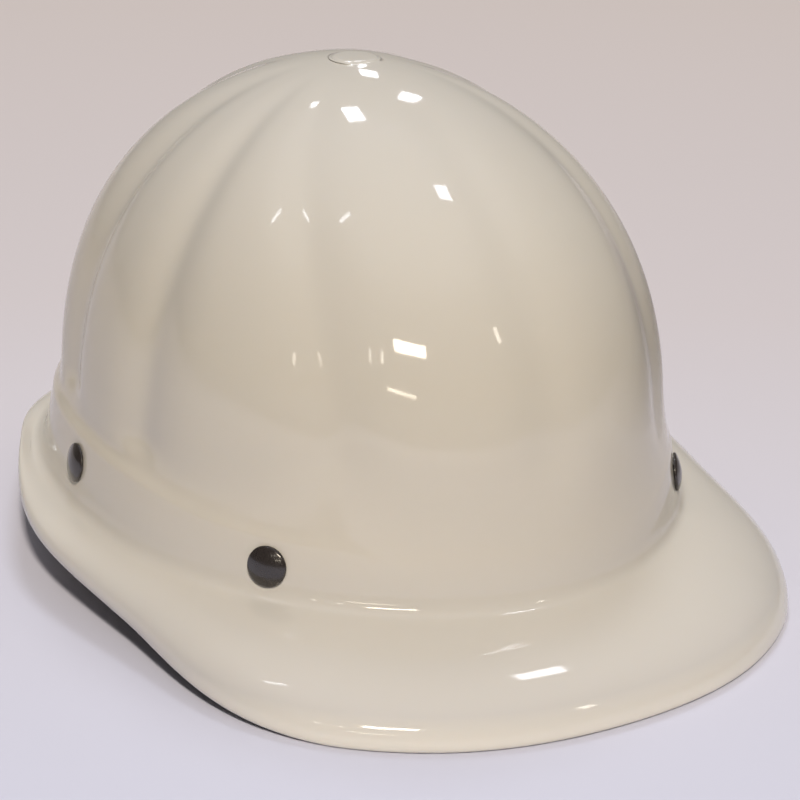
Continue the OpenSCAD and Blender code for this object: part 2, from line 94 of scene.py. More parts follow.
def makeShellPlastic(p):
    material, tree, shader = newMaterial("ivoryAbsMoulded", {
        "IOR": 1.53, "Subsurface Weight": 0.08, "Subsurface Scale": 0.003,
        "Subsurface Radius": (1.0, 0.75, 0.5)})
    coords = addNode(tree, "ShaderNodeTexCoord").outputs["Object"]
    place = addNode(tree, "ShaderNodeSeparateXYZ", {}, {0: coords})
    top = p["colours"][-1][0]
    height = addNode(tree, "ShaderNodeMapRange", {"From Max": top * mm}, {"Value": place.outputs["Z"]})
    # the ramp by height paints light: a pale lit lip, a cool band and a cool sheen at the top
    colour = addNode(tree, "ShaderNodeValToRGB", {"stops": [(z / top, c) for z, c in p["colours"]]},
                     {"Fac": height.outputs[0]})
    clouds = addNode(tree, "ShaderNodeTexNoise", {"Scale": 1 / (p["cloudSize"] * mm), "Detail": 2.0},
                     {"Vector": coords})
    tone = addNode(tree, "ShaderNodeMapRange", {"To Min": p["cloudDark"], "To Max": p["cloudLight"]},
                   {"Value": clouds.outputs["Fac"]})
    addNode(tree, "ShaderNodeVectorMath", {"operation": "SCALE"},
            {0: colour.outputs["Color"], "Scale": tone.outputs[0]}, shader.inputs["Base Color"])
    dust = addNode(tree, "ShaderNodeTexNoise", {"Scale": 1 / (p["dustSize"] * mm), "Detail": 3.0},
                   {"Vector": coords})
    addNode(tree, "ShaderNodeMapRange",
            {"From Min": 0.35, "From Max": 0.8, "To Min": p["glossFinest"], "To Max": p["glossDustiest"]},
            {"Value": dust.outputs["Fac"]}, shader.inputs["Roughness"])
    ripple = addNode(tree, "ShaderNodeTexNoise", {"Scale": 1 / (p["rippleSize"] * mm), "Detail": 1.0},
                     {"Vector": coords})
    addNode(tree, "ShaderNodeBump", {"Strength": 1.0, "Distance": p["rippleDepth"] * mm},
            {"Height": ripple.outputs["Fac"]}, shader.inputs["Normal"])
    return material


# Black-lacquered steel: a thin glossy film, slightly brown, with a soft ripple
rivetLacquer = {"black": "#332E2C", "dark": "#2B2725", "grainSize": 0.5, "grainDepth": 0.012}


def makeRivetLacquer(p):
    material, tree, shader = newMaterial("blackLacqueredSteel", {
        "Roughness": 0.24, "IOR": 1.5, "Coat Weight": 0.6, "Coat Roughness": 0.08})
    coords = addNode(tree, "ShaderNodeTexCoord").outputs["Object"]
    grain = addNode(tree, "ShaderNodeTexNoise", {"Scale": 1 / (p["grainSize"] * mm), "Detail": 2.0},
                    {"Vector": coords})
    addNode(tree, "ShaderNodeValToRGB", {"stops": [(0.3, p["dark"]), (0.7, p["black"])]},
            {"Fac": grain.outputs["Fac"]}, shader.inputs["Base Color"])
    addNode(tree, "ShaderNodeBump", {"Strength": 0.6, "Distance": p["grainDepth"] * mm},
            {"Height": grain.outputs["Fac"]}, shader.inputs["Normal"])
    return material


# Stamped, zinc-plated steel: a pale metal with fine tumbled scratches
zincPlate = {"light": "#C6C8CA", "dark": "#A6A9AD", "scratchSize": 0.6, "scratchDepth": 0.01}


def makeZincPlate(p):
    material, tree, shader = newMaterial("zincPlatedSteel", {"Metallic": 1.0})
    coords = addNode(tree, "ShaderNodeTexCoord").outputs["Object"]
    tumble = addNode(tree, "ShaderNodeTexNoise", {"Scale": 1 / (p["scratchSize"] * mm), "Detail": 4.0},
                     {"Vector": coords})
    addNode(tree, "ShaderNodeMapRange", {"To Min": 0.26, "To Max": 0.46},
            {"Value": tumble.outputs["Fac"]}, shader.inputs["Roughness"])
    addNode(tree, "ShaderNodeValToRGB", {"stops": [(0.3, p["dark"]), (0.7, p["light"])]},
            {"Fac": tumble.outputs["Fac"]}, shader.inputs["Base Color"])
    addNode(tree, "ShaderNodeBump", {"Strength": 0.5, "Distance": p["scratchDepth"] * mm},
            {"Height": tumble.outputs["Fac"]}, shader.inputs["Normal"])
    return material


# Drawn aluminium: brighter and smoother than the washers
drawnMetal = {"colour": "#CDCFD1", "drawSize": 0.8}


def makeAluminium(p):
    material, tree, shader = newMaterial("drawnAluminium", {
        "Base Color": linear(p["colour"]), "Metallic": 1.0})
    coords = addNode(tree, "ShaderNodeTexCoord").outputs["Object"]
    draw = addNode(tree, "ShaderNodeTexNoise", {"Scale": 1 / (p["drawSize"] * mm), "Detail": 3.0},
                   {"Vector": coords})
    addNode(tree, "ShaderNodeMapRange", {"To Min": 0.20, "To Max": 0.36},
            {"Value": draw.outputs["Fac"]}, shader.inputs["Roughness"])
    return material


# Moulded nylon and polyethylene off a spark-eroded mould: satin, finely pebbled
hangerNylon = {"name": "mouldedNylon", "light": "#D8D5CA", "dark": "#CBC7BA", "roughness": 0.42,
               "pebbleSize": 0.5, "pebbleDepth": 0.03, "cloudSize": 22}
bandPolyethylene = {"name": "mouldedPolyethylene", "light": "#CFCCBF", "dark": "#C1BDAE", "roughness": 0.36,
                    "pebbleSize": 0.7, "pebbleDepth": 0.03, "cloudSize": 22}


def makeSatinPlastic(p):
    material, tree, shader = newMaterial(p["name"], {
        "Roughness": p["roughness"], "IOR": 1.52, "Subsurface Weight": 0.08, "Subsurface Scale": 0.002})
    coords = addNode(tree, "ShaderNodeTexCoord").outputs["Object"]
    pebbles = addNode(tree, "ShaderNodeTexNoise", {"Scale": 1 / (p["pebbleSize"] * mm), "Detail": 2.0},
                      {"Vector": coords})
    clouds = addNode(tree, "ShaderNodeTexNoise", {"Scale": 1 / (p["cloudSize"] * mm), "Detail": 2.0},
                     {"Vector": coords})
    addNode(tree, "ShaderNodeValToRGB", {"stops": [(0.3, p["dark"]), (0.7, p["light"])]},
            {"Fac": clouds.outputs["Fac"]}, shader.inputs["Base Color"])
    addNode(tree, "ShaderNodeBump", {"Strength": 0.5, "Distance": p["pebbleDepth"] * mm},
            {"Height": pebbles.outputs["Fac"]}, shader.inputs["Normal"])
    return material


# Woven polyester webbing: a herringbone of 1.2 mm ribs in 5 mm columns
webbingWeave = {"ribPitch": 1.2, "column": 5.0, "yarn": 0.45, "yarnShare": 0.35, "ribHeight": 0.18,
                "light": "#E4DFD2", "shade": "#BDB5A2"}


def makeWebbing(p):
    material, tree, shader = newMaterial("wovenPolyester", {
        "Roughness": 0.78, "IOR": 1.46, "Sheen Weight": 0.25, "Sheen Roughness": 0.45})
    uv = addNode(tree, "ShaderNodeUVMap", {"uv_map": "weave"})
    place = addNode(tree, "ShaderNodeSeparateXYZ", {}, {0: uv.outputs[0]})
    zigzag = addNode(tree, "ShaderNodeMath", {"operation": "PINGPONG", 1: p["column"] * mm / 2},
                     {0: place.outputs["X"]})
    along = addNode(tree, "ShaderNodeMath", {"operation": "ADD"},
                    {0: place.outputs["Y"], 1: zigzag.outputs[0]})
    turns = addNode(tree, "ShaderNodeMath", {"operation": "MULTIPLY", 1: 2 * math.pi / (p["ribPitch"] * mm)},
                    {0: along.outputs[0]})
    rib = addNode(tree, "ShaderNodeMath", {"operation": "SINE"}, {0: turns.outputs[0]})
    cross = addNode(tree, "ShaderNodeMath", {"operation": "MULTIPLY", 1: 2 * math.pi / (p["yarn"] * mm)},
                    {0: place.outputs["X"]})
    yarn = addNode(tree, "ShaderNodeMath", {"operation": "SINE"}, {0: cross.outputs[0]})
    both = addNode(tree, "ShaderNodeMath", {"operation": "MULTIPLY_ADD", 1: p["yarnShare"]},
                   {0: yarn.outputs[0], 2: rib.outputs[0]})
    most = 1 + p["yarnShare"]
    height = addNode(tree, "ShaderNodeMapRange", {"From Min": -most, "From Max": most},
                     {"Value": both.outputs[0]})
    addNode(tree, "ShaderNodeValToRGB", {"stops": [(0.1, p["shade"]), (0.75, p["light"])]},
            {"Fac": height.outputs[0]}, shader.inputs["Base Color"])
    addNode(tree, "ShaderNodeBump", {"Strength": 0.8, "Distance": p["ribHeight"] * mm},
            {"Height": height.outputs[0]}, shader.inputs["Normal"])
    return material


# Chrome-tanned leather with a pressed grain of about 1.4 mm, brown and waxed
sweatLeather = {"grainSize": 1.4, "grainDepth": 0.14, "poreSize": 0.35, "stainSize": 18,
                "light": "#7A4E30", "dark": "#4C2E1C"}


def makeLeather(p):
    material, tree, shader = newMaterial("tannedLeather", {"IOR": 1.48, "Sheen Weight": 0.08})
    coords = addNode(tree, "ShaderNodeTexCoord").outputs["Object"]
    cells = addNode(tree, "ShaderNodeTexVoronoi",
                    {"feature": "DISTANCE_TO_EDGE", "Scale": 1 / (p["grainSize"] * mm)}, {"Vector": coords})
    creases = addNode(tree, "ShaderNodeMapRange", {"From Max": 0.22}, {"Value": cells.outputs["Distance"]})
    pores = addNode(tree, "ShaderNodeTexNoise", {"Scale": 1 / (p["poreSize"] * mm), "Detail": 2.0},
                    {"Vector": coords})
    height = addNode(tree, "ShaderNodeMath", {"operation": "MULTIPLY_ADD", 1: 0.3},
                     {0: pores.outputs["Fac"], 2: creases.outputs[0]})
    stain = addNode(tree, "ShaderNodeTexNoise", {"Scale": 1 / (p["stainSize"] * mm), "Detail": 4.0},
                    {"Vector": coords})
    mixed = addNode(tree, "ShaderNodeMath", {"operation": "MULTIPLY_ADD", 1: 0.45},
                    {0: creases.outputs[0], 2: stain.outputs["Fac"]})
    addNode(tree, "ShaderNodeValToRGB", {"stops": [(0.35, p["dark"]), (0.95, p["light"])]},
            {"Fac": mixed.outputs[0]}, shader.inputs["Base Color"])
    addNode(tree, "ShaderNodeMapRange", {"To Min": 0.62, "To Max": 0.44},
            {"Value": creases.outputs[0]}, shader.inputs["Roughness"])
    addNode(tree, "ShaderNodeBump", {"Strength": 0.6, "Distance": p["grainDepth"] * mm},
            {"Height": height.outputs[0]}, shader.inputs["Normal"])
    return material


# Knitted polyester over foam: small raised loops, matt charcoal
padKnit = {"loopSize": 1.1, "loopHeight": 0.3, "light": "#4B4B50", "dark": "#242427"}


def makeKnit(p):
    material, tree, shader = newMaterial("knittedPolyester", {
        "Roughness": 0.92, "IOR": 1.45, "Sheen Weight": 0.35, "Sheen Roughness": 0.5})
    coords = addNode(tree, "ShaderNodeTexCoord").outputs["Object"]
    loops = addNode(tree, "ShaderNodeTexVoronoi",
                    {"feature": "F1", "Scale": 1 / (p["loopSize"] * mm), "Randomness": 0.35},
                    {"Vector": coords})
    addNode(tree, "ShaderNodeValToRGB", {"stops": [(0.05, p["light"]), (0.6, p["dark"])]},
            {"Fac": loops.outputs["Distance"]}, shader.inputs["Base Color"])
    addNode(tree, "ShaderNodeBump", {"Strength": 0.7, "Distance": p["loopHeight"] * mm, "invert": True},
            {"Height": loops.outputs["Distance"]}, shader.inputs["Normal"])
    return material


# Waxed polyester sewing thread, darker in bands along its twist as painted shade between the strands
sewingThread = {"twist": 1.6, "light": "#DCD1B4", "shade": "#B9AB8A"}


def makeThread(p):
    material, tree, shader = newMaterial("waxedThread", {"Roughness": 0.6, "IOR": 1.48})
    coords = addNode(tree, "ShaderNodeTexCoord").outputs["Object"]
    twist = addNode(tree, "ShaderNodeTexWave",
                    {"Scale": 1 / (p["twist"] * mm), "bands_direction": "DIAGONAL"}, {"Vector": coords})
    addNode(tree, "ShaderNodeValToRGB", {"stops": [(0.2, p["shade"]), (0.8, p["light"])]},
            {"Fac": twist.outputs["Fac"]}, shader.inputs["Base Color"])
    return material


ivoryAbs = makeShellPlastic(shellPlastic)
blackSteel = makeRivetLacquer(rivetLacquer)
zincSteel = makeZincPlate(zincPlate)
aluminium = makeAluminium(drawnMetal)
nylon = makeSatinPlastic(hangerNylon)
bandPlastic = makeSatinPlastic(bandPolyethylene)
webbing = makeWebbing(webbingWeave)
leather = makeLeather(sweatLeather)
knit = makeKnit(padKnit)
thread = makeThread(sewingThread)
print("materials ready")


def ease(u):
    v = np.clip(u, 0, 1)
    return v * v * (3 - 2 * v)


def makeObject(name, points, faces, material, sharpAngle=None):
    mesh = bpy.data.meshes.new(name)
    mesh.from_pydata([tuple(p) for p in points], [], faces)
    mesh.materials.append(material)
    mesh.validate()
    obj = bpy.data.objects.new(name, mesh)
    bpy.context.scene.collection.objects.link(obj)
    mesh.shade_smooth()
    if sharpAngle:
        mesh.set_sharp_from_angle(angle=math.radians(sharpAngle))
    return obj


def gridFaces(rows, columns):
    # quads between rows of points that each run round and close
    faces = []
    for i in range(rows - 1):
        for j in range(columns):
            a, b = i * columns + j, i * columns + (j + 1) % columns
            faces.append((a, b, b + columns, a + columns))
    return faces


def tubeFaces(rows, columns):
    # the same, with a flat face at each end
    last = (rows - 1) * columns
    return gridFaces(rows, columns) + [tuple(range(columns - 1, -1, -1)), tuple(range(last, last + columns))]


def bSpline(controls, steps):
    # smooth rows through a list of (radius, height) rows, rounding each corner
    rows = []
    c = np.concatenate([[2 * controls[0] - controls[1]], controls, [2 * controls[-1] - controls[-2]]])
    for i in range(len(c) - 3):
        for k in range(steps):
            t = k / steps
            rows.append(((1 - t) ** 3 * c[i] + (3 * t ** 3 - 6 * t ** 2 + 4) * c[i + 1]
                         + (-3 * t ** 3 + 3 * t ** 2 + 3 * t + 1) * c[i + 2] + t ** 3 * c[i + 3]) / 6)
    rows.append(controls[-1])
    return rows


def bezier(p, u):
    return (1 - u) ** 3 * p[0] + 3 * (1 - u) ** 2 * u * p[1] + 3 * (1 - u) * u ** 2 * p[2] + u ** 3 * p[3]


shellForm = {
    # seven stations, every 30 degrees from the front to the back
    "edgeRadii": [166.5, 159.5, 126, 115, 111, 124, 127.5],
    "archHeights": [0, 0.3, 9.0, 16.2, 20.2, 9.5, 0],
    "bandRadii": [127, 118.5, 106.5, 98.5, 102, 109, 112],
    # the brim, whose corners stand out a little on each side of the peak
    "cornerAzimuth": 41.5, "cornerSpan": 20, "cornerBulge": 2.4, "cornerLow": 1.0,
    "brimStart": 4.5, "peakFrom": 12, "peakOver": 20, "lipDrop": 7.2, "lipThick": 3.6,
    # the band, and the step in from it to the dome
    "footZ": 22, "creaseZ": 47, "bandLean": 2.8, "bandStep": 2.6, "stepAzimuth": 50,
    # the dome: its top, where its curve starts below the crease, and how full it is
    "domeTop": 159.5, "domeLow": 9, "domeFull": 2.55, "domeFlat": 1.85, "domeRadius": 110, "wall": 2.7,
    # the grooves, shallower at the front
    "grooveDepth": 3.6, "grooveDepthFront": 2.2, "deepFrom": 40, "deepOver": 28,
    "grooveFade": 20, "grooveSideFade": 12, "sideFadeFrom": 15, "sideFadeOver": 60,
    "grooveAzimuth": 30.5, "grooveSwing": 17, "groovePitch": 36, "grooveRound": 4.6, "groovePower": 3.0,
    "grooveEnd": 0.15, "grooveEndRate": 1.25,           # shares of the radius, near the crown
    # the crease over the band, softer at the front, and the heights where it begins
    "creaseSoftFront": 7.5, "creaseSoftSide": 1.3, "creaseFrom": 30, "creaseOver": 45,
    "softZ": 31, "softRise": 6, "softRiseFrom": 18, "softRiseOver": 14, "softOver": 10,
    "discAcross": 15, "discProud": 0.5,
    "crownY": 19.5, "columns": 480,
}
lowZ = shellForm["footZ"] + 6               # the band leans in between these heights
topZ = shellForm["creaseZ"] - 3
levelStep = 0.5
bandLevels = np.arange(26, 100, levelStep)  # heights at which the outline is sampled


def fold(azimuth):
    return np.abs((np.asarray(azimuth, float) + 180) % 360 - 180)


def through(values, azimuth):
    # a periodic cubic spline through the stations, the same on both sides
    p = np.array(list(values) + list(values[-2:0:-1]), float)
    n = len(p)
    system = np.zeros((n, n))
    for i in range(n):
        system[i, i - 1] += 1
        system[i, i] += 4
        system[i, (i + 1) % n] += 1
    slopes = np.linalg.solve(system, 3 * (np.roll(p, -1) - np.roll(p, 1)))
    b = (np.asarray(azimuth, float) % 360) / 30
    k = np.floor(b).astype(int) % n
    u, after = b - np.floor(b), (k + 1) % n
    return ((2 * u ** 3 - 3 * u ** 2 + 1) * p[k] + (u ** 3 - 2 * u ** 2 + u) * slopes[k]
            + (3 * u ** 2 - 2 * u ** 3) * p[after] + (u ** 3 - u ** 2) * slopes[after])


def bandSetIn(f, z):
    return f["bandLean"] * np.clip(z - lowZ, 0, topZ - lowZ) / (topZ - lowZ)


def stepAt(f, azimuth):
    return f["bandStep"] * ease(fold(azimuth) / f["stepAzimuth"])


def grooveDip(f, azimuth, t, radius):
    # 0 on a crest and 1 in a groove, with the groove's bottom rounded in millimetres
    b = fold(azimuth)
    g = f["grooveAzimuth"] + f["grooveSwing"] * t * t
    pitch = f["groovePitch"]
    half = np.where(b < g, g / 2, np.where(b < 2 * pitch, (2 * pitch - g) / 2, pitch / 2))
    near = np.where(b < g, np.minimum(b, g - b),
                    np.where(b < 2 * pitch, np.minimum(b - g, 2 * pitch - b),
                             np.minimum(b % pitch, pitch - b % pitch)))
    w = 1.0 + np.degrees(f["grooveRound"] / np.maximum(radius, 4))
    share = (np.sqrt(near ** 2 + w ** 2) - w) / (np.sqrt(half ** 2 + w ** 2) - w)
    return (1 - share) ** f["groovePower"]


def domeAngle(f, z, inset=0):
    # how far round its curve the dome is at a height
    low = f["creaseZ"] - f["domeLow"]
    return math.asin(((z - low) / (f["domeTop"] - inset - low)) ** (f["domeFull"] / 2))


def domeAt(f, azimuth, e, inset):
    # one level of the dome, e running from the crease to a right angle at the crown
    low = f["creaseZ"] - f["domeLow"]
    h = f["domeTop"] - inset - low
    z = low + h * math.sin(e) ** (2 / f["domeFull"])
    spread = (math.cos(e) / math.cos(domeAngle(f, f["creaseZ"], inset))) ** (2 / f["domeFlat"])
    r = (through(f["bandRadii"], azimuth) - f["bandLean"] - stepAt(f, azimuth) - inset) * spread
    # the grooves are cut square to the surface, so they still show near the crown
    rise = max(z - f["creaseZ"], 0)
    side = ease((fold(azimuth) - f["sideFadeFrom"]) / f["sideFadeOver"])
    fade = f["grooveFade"] - f["grooveSideFade"] * side
    t = rise / (h - f["domeLow"])
    rear = ease((fold(azimuth) - f["deepFrom"]) / f["deepOver"])
    deep = f["grooveDepthFront"] + (f["grooveDepth"] - f["grooveDepthFront"]) * rear
    end = float(ease((spread - f["grooveEnd"]) * f["grooveEndRate"]))
    dip = deep * ease(rise / fade) * end * grooveDip(f, azimuth, t, r)
    tilt = math.atan2(math.sin(e) ** (2 - 2 / f["domeFull"]) * f["domeFull"] / h,
                      math.cos(e) ** (2 - 2 / f["domeFlat"]) * f["domeFlat"] / f["domeRadius"])
    return r - dip * math.cos(tilt), z - dip * math.sin(tilt)


def bandAt(f, azimuth, z):
    # the outline from the band over the step to the foot of the dome
    if z >= f["creaseZ"]:
        return domeAt(f, azimuth, domeAngle(f, z), 0)[0]
    step = stepAt(f, azimuth) * ease((z - topZ) / (f["creaseZ"] - topZ))
    return through(f["bandRadii"], azimuth) - bandSetIn(f, z) - step


def softBand(f, table, azimuth, z):
    # the crease melts away towards the front and stays tight at the sides: a level
    # is the mean of the levels round it, weighted by a bell curve
    side = ease((fold(azimuth) - f["creaseFrom"]) / f["creaseOver"])
    spread = f["creaseSoftFront"] + (f["creaseSoftSide"] - f["creaseSoftFront"]) * side
    start = f["softZ"] + f["softRise"] * ease((fold(azimuth) - f["softRiseFrom"]) / f["softRiseOver"])
    spread = spread * ease((z - start) / f["softOver"])
    total, weights = 0, 0
    column = np.arange(len(azimuth))
    for x in np.linspace(-2.4, 2.4, 25):
        place = np.clip((z + x * spread - bandLevels[0]) / levelStep, 0, len(bandLevels) - 1.001)
        k = place.astype(int)
        part = place - k
        weight = math.exp(-x * x / 2)
        total = total + weight * (table[k, column] * (1 - part) + table[k + 1, column] * part)
        weights += weight
    return total / weights


def shellRows(f):
    # rows of (radius, height) from the crown down the outside, round the lip, and up
    # the inside
    a = np.arange(f["columns"]) * 360 / f["columns"]
    b = through(f["bandRadii"], a)
    corner = ease(1 - np.abs(fold(a) - f["cornerAzimuth"]) / f["cornerSpan"])
    e = through(f["edgeRadii"], a) + f["cornerBulge"] * corner
    z = np.maximum(through(f["archHeights"], a) - f["cornerLow"] * corner, 0)
    start = b + f["brimStart"]
    reach = e - b - f["brimStart"]
    wide = ease((reach - f["peakFrom"]) / f["peakOver"])        # 1 on the peak
    foot, wall, lip, top = f["footZ"], f["wall"], f["lipThick"], f["domeTop"]
    inner = foot - wall

    def row(r, height):
        return np.stack([r + 0 * a, height + 0 * a], -1)

    # the crown disc with the fine gap round it, then the dome down to joinZ
    rim, joinZ, lastAngle = f["discAcross"] / 2, 72, math.radians(84.6)
    disc = [(1.5, 0.5), (4, 0.47), (5.6, 0.42), (rim - 1.0, 0.36), (rim - 0.5, 0.26), (rim - 0.2, 0.10),
            (rim, 0.0), (rim + 0.2, -0.13), (rim + 0.45, -0.20), (rim + 0.7, -0.22), (rim + 0.9, -0.24)]
    rows = [row(r, top + up) for r, up in disc]
    join = domeAngle(f, joinZ)
    for u in np.linspace(1, 0, 78):
        rows.append(np.stack(domeAt(f, a, join + (lastAngle - join) * u ** 1.15, 0), -1))

    # the softened crease, which takes over from the dome proper between 71 and 60 mm
    table = np.array([bandAt(f, a, level) + 0 * a for level in bandLevels])
    levels = np.concatenate([np.arange(71.2, 52, -1.0), np.arange(52, 40, -0.5), np.arange(40, 31, -1.0)])
    for level in levels:
        soft = row(softBand(f, table, a, level), level)
        if level > 60:
            keep = float(ease((level - 60) / 11))
            soft = soft * (1 - keep) + np.stack(domeAt(f, a, domeAngle(f, level), 0), -1) * keep
        rows.append(soft)

    # the band, the fillet under it, the brim's curved top, the lip, the brim's
    # underside, and the band's inside
    band = [row(b - bandSetIn(f, level), level) for level in (31, 29.5, 28)]
    band += [row(b + 0.75, foot + 3.6), row(b + 1.7, foot + 2), row(b + 3, foot + 1)]
    over = [row(start, foot + 0.6), row(start + reach * 0.46, foot + 0.6 - 2.0 * wide),
            row(e + 0.4, z + f["lipDrop"] + 0.5 + 5 * wide), row(e, z + 1.8)]
    band += [bezier(over, i / 10) for i in range(11)]
    band += [row(e - 0.5, z + 0.45), row(e - 1.7, z - 0.02), row(e - lip + 1.3, z - 0.02),
             row(e - lip + 0.2, z + 0.7)]
    under = [row(e - lip, z + 1.9), row(e - lip + 0.2, z + f["lipDrop"] - 2.2 + 3 * wide),
             row(b + 3.2 + reach * 0.42, inner + 0.6 - 2.6 * wide), row(b + 3.2, inner + 0.4)]
    band += [bezier(under, i / 8) for i in range(9)]
    band += [row(b + 0.9, inner + 1.5), row(b - wall + 1.1, foot + 1.6), row(b - wall + 0.2, foot + 4),
             row(b - wall, lowZ), row(b - wall - f["bandLean"] / 2, (lowZ + topZ) / 2),
             row(b - wall - f["bandLean"], topZ)]
    rows += bSpline(np.array(band), 3)
    first = domeAngle(f, f["creaseZ"], wall)
    for u in np.linspace(0.0, 0.97, 60):
        rows.append(np.stack(domeAt(f, a, first + (math.pi / 2 - first) * u ** 1.5, wall), -1))
    return a, rows


def makeShell(f):
    azimuth, rows = shellRows(f)
    angle = np.radians(azimuth)
    points = [np.stack([r[:, 0] * np.sin(angle), f["crownY"] - r[:, 0] * np.cos(angle), r[:, 1]], -1)
              for r in rows]
    points = np.concatenate(points) * mm
    n = f["columns"]
    faces = [(a, d, c, b) for a, b, c, d in gridFaces(len(rows), n)]    # the rows run downwards
    # one point closes the disc and one the inside
    top, bottom, last = len(points), len(points) + 1, (len(rows) - 1) * n
    points = np.concatenate([points, [[0, f["crownY"] * mm, (f["domeTop"] + f["discProud"]) * mm],
                                      [0, f["crownY"] * mm, (f["domeTop"] - f["wall"]) * mm]]])
    for j in range(n):
        faces.append((top, j, (j + 1) % n))
        faces.append((bottom, last + (j + 1) % n, last + j))
    shell = makeObject("helmetShell", points, faces, ivoryAbs)
    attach(shell, "shell")
    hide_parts("shell")
    return shell


helmetShell = makeShell(shellForm)
print("shell:", len(helmetShell.data.vertices), "points")


fixings = {
    "frontAzimuth": 41.5, "sideAzimuth": 93, "rearAzimuth": 140,
    "rivetZ": 32.5, "rivetRise": 2.5,
    "headAcross": 12.7, "headHeight": 2.4, "headLift": 0.2, "rimHeight": 0.7, "shank": 4.6, "clear": 0.2,
    "washerAcross": 11, "washerThick": 1, "washerEdge": 0.18, "tailAcross": 7.2, "tailThick": 1.4,
    "strapThick": 1.5, "strapWide": 20, "gap": 0.3, "hangerThick": 1.8, "play": 0.1,
}
leanAngle = math.atan(shellForm["bandLean"] / (topZ - lowZ))
# how far in from the band's face each layer lies; a flat strap end stands off the
# round wall by a little more than the rise of its arc
arcRise = fixings["strapWide"] ** 2 / (6 * min(shellForm["bandRadii"]))
strapIn = shellForm["wall"] + fixings["gap"] + arcRise
washerIn = strapIn + fixings["strapThick"] + fixings["gap"] + fixings["hangerThick"] + fixings["play"]
tailIn = washerIn + fixings["washerThick"] + fixings["play"]
places = {"front": fixings["frontAzimuth"], "side": fixings["sideAzimuth"], "rear": fixings["rearAzimuth"]}


def seatHeight(azimuth):
    front, side = fixings["frontAzimuth"], fixings["sideAzimuth"]
    share = (float(fold(azimuth)) - front) / (side - front)
    return fixings["rivetZ"] + fixings["rivetRise"] * float(ease(share))


def seatRadius(azimuth):
    return float(through(shellForm["bandRadii"], azimuth)) - float(bandSetIn(shellForm, seatHeight(azimuth)))


def onAxis(azimuth, r, z):
    a = math.radians(azimuth)
    return np.array([r * math.sin(a), shellForm["crownY"] - r * math.cos(a), z])


def facing(azimuth):
    # which way the band's wall faces, from the chord between a degree each side
    ahead, behind = (onAxis(near, float(through(shellForm["bandRadii"], near)), 0)
                     for near in (azimuth + 1, azimuth - 1))
    chord = ahead - behind
    return math.atan2(-chord[0], chord[1])


def seatMatrix(azimuth):
    place = onAxis(azimuth, seatRadius(azimuth), seatHeight(azimuth)) * mm
    return Matrix.Translation(Vector(place)) @ Matrix.Rotation(facing(azimuth), 4, "Z") \
        @ Matrix.Rotation(math.pi / 2 - leanAngle, 4, "Y")


def lathe(name, profile, matrix, material, sides=64, sharpAngle=40):
    # profile: (radius, height) round a section; a radius of 0 is a point on the axis
    points, faces, rings = [], [], []
    for r, h in profile:
        if r == 0:
            rings.append([len(points)])
            points.append(matrix @ Vector((0, 0, h * mm)))
        else:
            rings.append(list(range(len(points), len(points) + sides)))
            for k in range(sides):
                a = 2 * math.pi * k / sides
                points.append(matrix @ Vector((r * math.cos(a) * mm, r * math.sin(a) * mm, h * mm)))
    closing = [rings[0]] if len(rings[0]) > 1 else []
    for one, two in zip(rings, rings[1:] + closing):
        for k in range(sides):
            quad = [one[k % len(one)], two[k % len(two)], two[(k + 1) % len(two)], one[(k + 1) % len(one)]]
            quad = [v for i, v in enumerate(quad) if v not in quad[:i]]
            if len(quad) > 2:
                faces.append(tuple(quad))
    return makeObject(name, points, faces, material, sharpAngle)


def rivetProfile(p):
    # a low ball head with a rounded rim, the shank, and a rolled tail
    r, rim, lift = p["headAcross"] / 2, p["rimHeight"], p["headLift"]
    rise = p["headHeight"] - rim - lift
    ball = (r * r + rise * rise) / (2 * rise)
    profile = [(0.0, lift + rim + rise)]
    for i in range(1, 13):
        x = (r - 0.35) * i / 12
        profile.append((x, lift + rim + rise - ball + math.sqrt(ball * ball - x * x)))
    profile += [(r - 0.1, lift + rim - 0.02), (r, lift + rim - 0.3), (r, 0.35), (r - 0.15, lift)]
    shank, tail, end = p["shank"] / 2, p["tailAcross"] / 2, -tailIn - p["tailThick"]
    profile += [(shank + 0.1, lift), (shank, 0.0), (shank, -tailIn)]
    profile += [(tail - 0.2, -tailIn), (tail, -tailIn - 0.25), (tail - 0.1, end + 0.35), (tail - 0.6, end),
                (tail - 1.6, end), (tail - 2.2, end + 0.5), (0.0, end + 0.6)]
    return profile


def washerProfile(p):
    inner, outer, edge = p["shank"] / 2 + p["clear"], p["washerAcross"] / 2, p["washerEdge"]
    low, high = -washerIn - p["washerThick"], -washerIn
    return [(inner, low + edge), (inner, high - edge), (inner + edge, high), (outer - edge, high),
            (outer, high - edge), (outer, low + edge), (outer - edge, low), (inner + edge, low)]


for place, azimuth in places.items():
    for side, sign in (("right", -1), ("left", 1)):
        seat, matrix = place + "_" + side, seatMatrix(sign * azimuth)
        rivet = lathe("rivet_" + seat + "_lacquered", rivetProfile(fixings), matrix, blackSteel)
        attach(rivet, "shell")
        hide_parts("rivet_" + seat)
        washer = lathe("washer_" + seat + "_stamped", washerProfile(fixings), matrix, zincSteel)
        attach(washer, "shell")
        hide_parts("washer_" + seat)
print("rivets and washers ready")


strapForm = {
    "topZ": 120,                            # of the lowest strap's middle at the crown
    "tail": 9, "hangerUp": 6.5,             # below and above the rivet, straight on the band
    "rise": 32, "lean": 17,                 # the pull of the curve's foot, up and inwards
    "shoulder": 0.6,                        # where its top pulls, as a share of the radius
    "crossing": 1.15,                       # half of the flat at the crown, in strap widths
    "turnOver": 50,                         # height in which it turns to the crown
    "edge": 0.55, "selvedge": 0.12,
}


